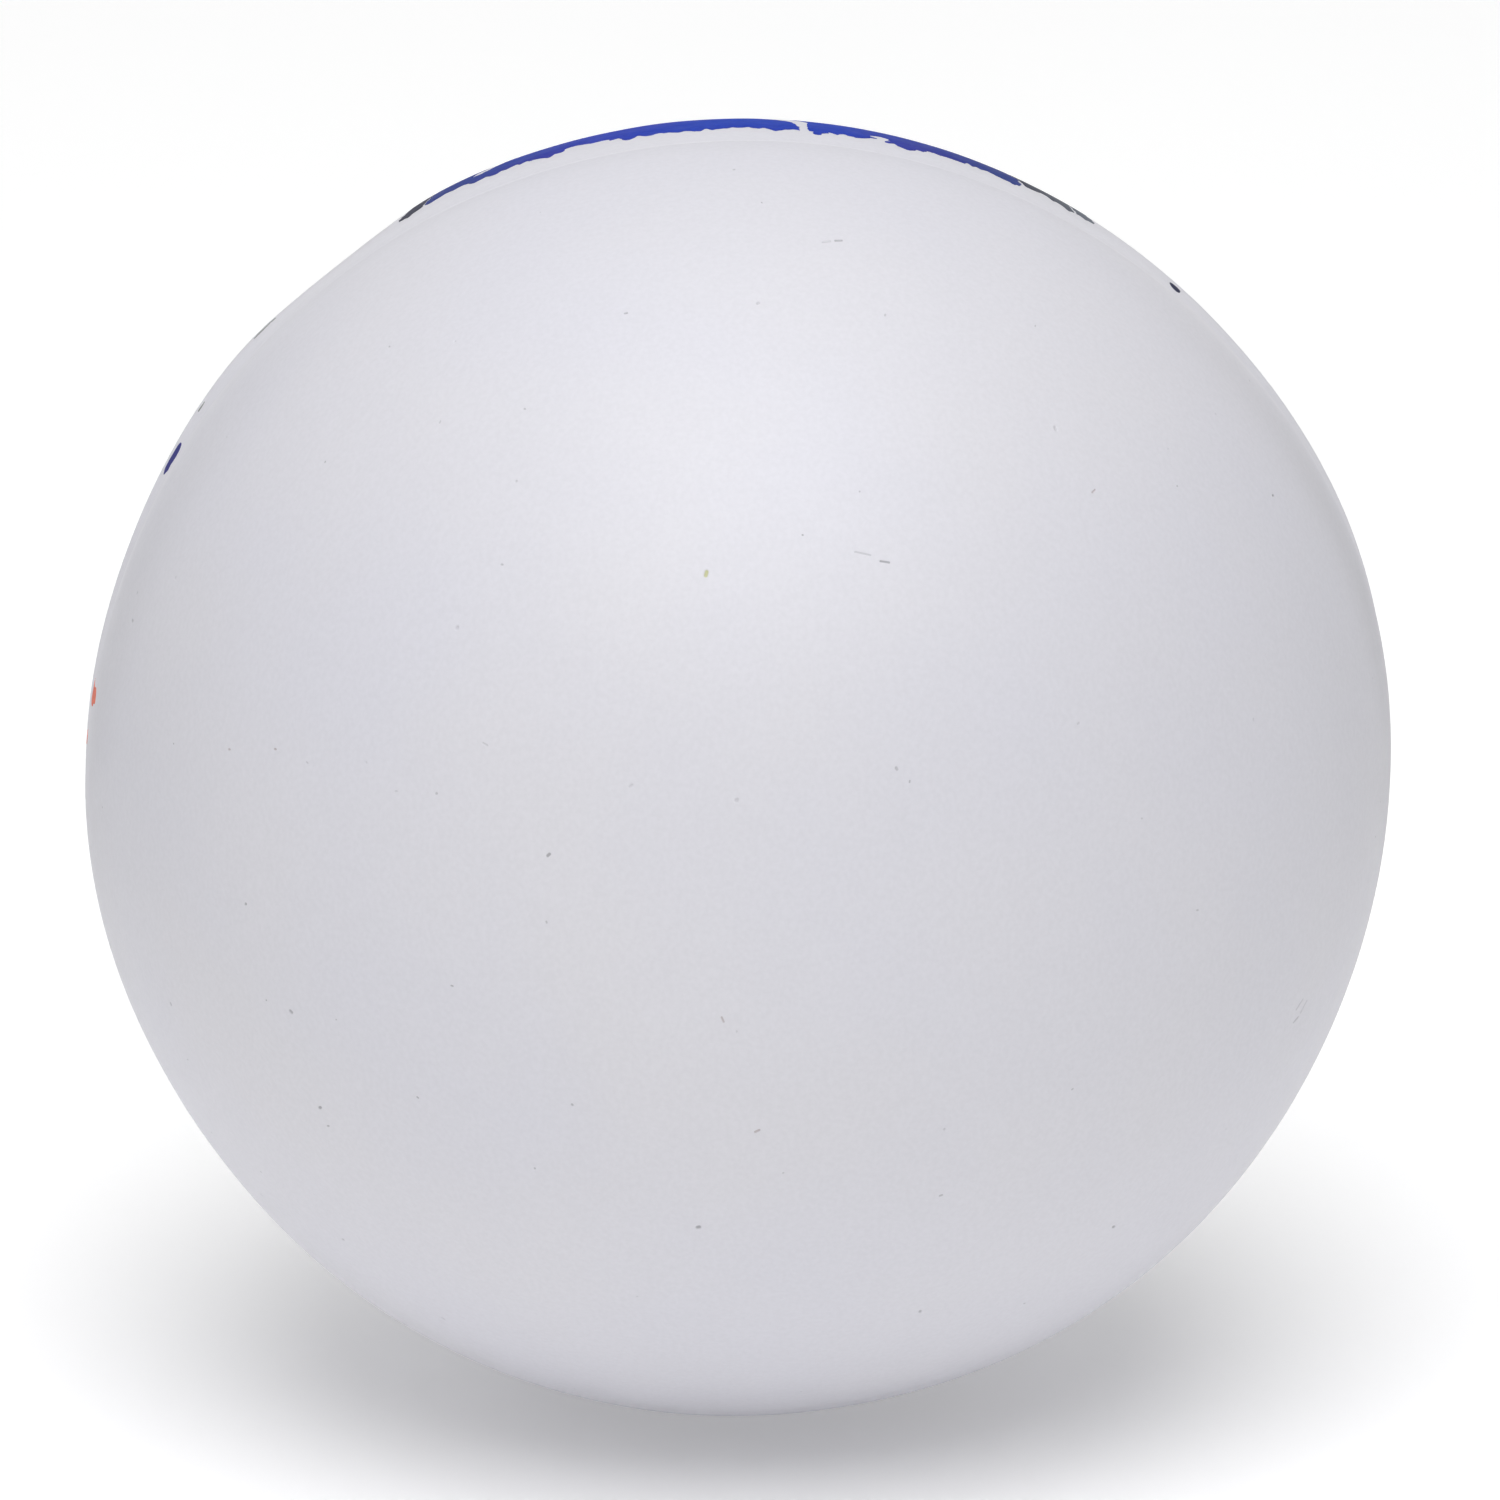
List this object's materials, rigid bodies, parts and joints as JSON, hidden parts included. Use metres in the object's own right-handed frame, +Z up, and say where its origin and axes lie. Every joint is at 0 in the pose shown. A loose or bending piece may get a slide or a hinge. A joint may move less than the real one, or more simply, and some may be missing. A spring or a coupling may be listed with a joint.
{
  "type": "table tennis ball",
  "caption": "Hollow white plastic table tennis ball: moulded cups joined by a lapped, cemented seam, with pad-printed blue, dark, grey and coral ink marks on the rear cup.",
  "frame": {"origin": "centre of the ball", "axes": "+Z up; +Y along the common axis of both cups, from the front cup to the rear cup; the seam lies in the plane y = 0"},
  "size_m": [0.04, 0.04, 0.04],
  "materials": {
    "front_cup_plastic": "satin white with a fine grain and a few pits",
    "rear_cup_plastic": "satin white with a fine grain",
    "cement": "clear to milky solvent cement, smooth",
    "ink_blue": "thin pad-printed ink, satin",
    "ink_dark": "thin pad-printed ink, satin",
    "ink_grey": "thin pad-printed ink, satin",
    "ink_coral": "thin pad-printed ink, satin"
  },
  "bodies": {
    "root": {"front_cup": "front_cup_plastic", "rear_cup": "rear_cup_plastic", "seam_cement": "cement", "print_panel": "ink_blue", "print_strip_right": "ink_dark", "print_strip_left": "ink_dark", "print_bar_blue": "ink_blue", "print_dot_navy": "ink_dark", "print_dash_grey": "ink_grey", "print_dot_grey": "ink_grey", "print_bar_coral": "ink_coral", "print_dash_coral": "ink_coral"}
  },
  "joints": []
}
